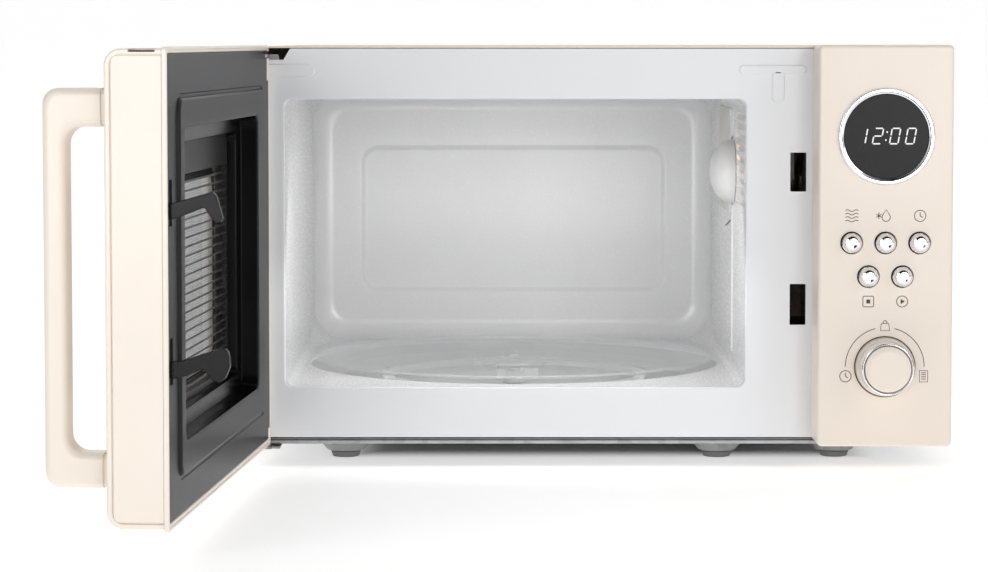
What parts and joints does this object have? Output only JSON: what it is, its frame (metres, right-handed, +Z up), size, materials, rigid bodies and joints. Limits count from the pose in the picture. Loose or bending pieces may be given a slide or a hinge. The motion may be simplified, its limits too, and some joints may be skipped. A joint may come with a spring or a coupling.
{
  "type": "microwave oven",
  "caption": "Free-standing countertop microwave oven with a hinged door and D-handle, turntable cavity, and side panel with round display, push buttons and knob.",
  "frame": {"origin": "centre of the bounding box's base, at worktop level, with the door open as stored", "axes": "+X to the user's right, +Y from the door towards the rear, +Z up"},
  "size_m": [0.5328, 0.7078, 0.2726],
  "materials": {
    "cream_paint": "satin cream paint",
    "cream_plastic": "smooth cream moulding",
    "white_paint": "white enamel paint",
    "cavity_paint": "light grey enamel paint",
    "zinc_steel": "galvanised sheet",
    "aluminium": "plain",
    "chrome": "bright plating",
    "charcoal_plastic": "satin dark grey",
    "black_plastic": "matt black",
    "white_plastic": "plain white moulding",
    "dark_lens": "clear smoked window",
    "clear_glass": "clear",
    "smoked_glass": "dark tinted",
    "rubber": "soft grey",
    "mica": "pressed mica sheet",
    "board": "green circuit board",
    "iron_core": "varnished laminations",
    "screen_black": "black perforated sheet"
  },
  "bodies": {
    "chassis": {"cabinet_cover": "cream_paint", "rear_panel": "zinc_steel", "cord_inlet": "black_plastic", "base_plate": "zinc_steel", "front_plate": "white_paint", "cavity_shell": "cavity_paint", "waveguide_cover": "mica", "stirrer_dome": "white_plastic", "waveguide": "zinc_steel", "magnetron": "aluminium", "transformer": "iron_core", "hv_capacitor": "aluminium", "hv_diode": "black_plastic", "fan_shroud": "black_plastic", "fan_motor": "iron_core", "lamp_socket": "white_plastic", "lamp_bulb": "clear_glass", "noise_filter_board": "board", "cavity_thermostat": "black_plastic", "latch_bracket": "black_plastic", "door_switch_upper": "black_plastic", "door_switch_lower": "black_plastic", "turntable_motor": "zinc_steel", "control_panel": "cream_plastic", "display_bezel": "chrome", "display_lens": "dark_lens", "display_module": "black_plastic", "control_board": "board", "knob_encoder": "black_plastic", "hinge_bracket_upper": "zinc_steel", "hinge_bracket_lower": "zinc_steel", "foot_front_left": "rubber", "foot_front_middle": "rubber", "foot_front_right": "rubber", "foot_rear_left": "rubber", "foot_rear_right": "rubber"},
    "door": {"door_outer_shell": "cream_plastic", "door_end_cap": "cream_plastic", "door_inner_frame": "cream_plastic", "door_choke_cover": "charcoal_plastic", "door_screen": "screen_black", "door_glass": "smoked_glass", "door_handle": "cream_plastic", "latch_guide": "white_plastic", "latch_spring": "zinc_steel"},
    "latch": {"latch_key": "black_plastic"},
    "turntable": {"turntable_coupler": "white_plastic", "glass_plate": "clear_glass"},
    "roller_ring": {"roller_ring": "white_plastic"},
    "knob": {"knob_body": "cream_plastic", "knob_ring": "chrome"},
    "fan": {"fan_rotor": "black_plastic"},
    "roller_wheel_1": {"roller_wheel_1": "white_plastic"},
    "roller_wheel_2": {"roller_wheel_2": "white_plastic"},
    "roller_wheel_3": {"roller_wheel_3": "white_plastic"},
    "button_1": {"button_1": "chrome"},
    "button_2": {"button_2": "chrome"},
    "button_3": {"button_3": "chrome"},
    "button_4": {"button_4": "chrome"},
    "button_5": {"button_5": "chrome"}
  },
  "joints": [
    {"name": "door_hinge", "type": "hinge", "parent": "chassis", "child": "door", "pos_m": [-0.17107, -0.00383, 0.14], "axis": [0, 0, 1], "range_deg": [-15.5, 94.5]},
    {"name": "latch_slide", "type": "slide", "parent": "door", "child": "latch", "axis": [0, 0, 1], "range_m": [0, 0.004], "stiffness_N_per_m": 150, "springref_m": -0.004, "deforming": ["latch_spring"]},
    {"name": "turntable_spin", "type": "hinge", "parent": "chassis", "child": "turntable", "pos_m": [-0.01052, 0.16072, 0.044], "axis": [0, 0, 1], "continuous": true},
    {"name": "roller_ring_spin", "type": "hinge", "parent": "chassis", "child": "roller_ring", "pos_m": [-0.01052, 0.16072, 0.0416], "axis": [0, 0, 1], "continuous": true},
    {"name": "roller_wheel_1_spin", "type": "hinge", "parent": "roller_ring", "child": "roller_wheel_1", "pos_m": [-0.01052, 0.26072, 0.0416], "axis": [0, 1, 0], "continuous": true},
    {"name": "roller_wheel_2_spin", "type": "hinge", "parent": "roller_ring", "child": "roller_wheel_2", "pos_m": [-0.09712, 0.11072, 0.0416], "axis": [-0.866, -0.5, 0], "continuous": true},
    {"name": "roller_wheel_3_spin", "type": "hinge", "parent": "roller_ring", "child": "roller_wheel_3", "pos_m": [0.07608, 0.11072, 0.0416], "axis": [0.866, -0.5, 0], "continuous": true},
    {"name": "knob_spin", "type": "hinge", "parent": "chassis", "child": "knob", "pos_m": [0.22368, -0.04428, 0.0687], "axis": [0, -1, 0], "continuous": true},
    {"name": "button_1_press", "type": "slide", "parent": "chassis", "child": "button_1", "axis": [0, 1, 0], "range_m": [0, 0.0012], "stiffness_N_per_m": 400},
    {"name": "button_2_press", "type": "slide", "parent": "chassis", "child": "button_2", "axis": [0, 1, 0], "range_m": [0, 0.0012], "stiffness_N_per_m": 400},
    {"name": "button_3_press", "type": "slide", "parent": "chassis", "child": "button_3", "axis": [0, 1, 0], "range_m": [0, 0.0012], "stiffness_N_per_m": 400},
    {"name": "button_4_press", "type": "slide", "parent": "chassis", "child": "button_4", "axis": [0, 1, 0], "range_m": [0, 0.0012], "stiffness_N_per_m": 400},
    {"name": "button_5_press", "type": "slide", "parent": "chassis", "child": "button_5", "axis": [0, 1, 0], "range_m": [0, 0.0012], "stiffness_N_per_m": 400},
    {"name": "fan_spin", "type": "hinge", "parent": "chassis", "child": "fan", "pos_m": [0.20143, 0.31172, 0.175], "axis": [0, 1, 0], "continuous": true}
  ],
  "couplings": [
    {"joint": "roller_ring_spin", "follows": "turntable_spin", "ratio": 0.5},
    {"joint": "roller_wheel_1_spin", "follows": "turntable_spin", "ratio": -9.2593},
    {"joint": "roller_wheel_2_spin", "follows": "turntable_spin", "ratio": -9.2593},
    {"joint": "roller_wheel_3_spin", "follows": "turntable_spin", "ratio": -9.2593}
  ]
}
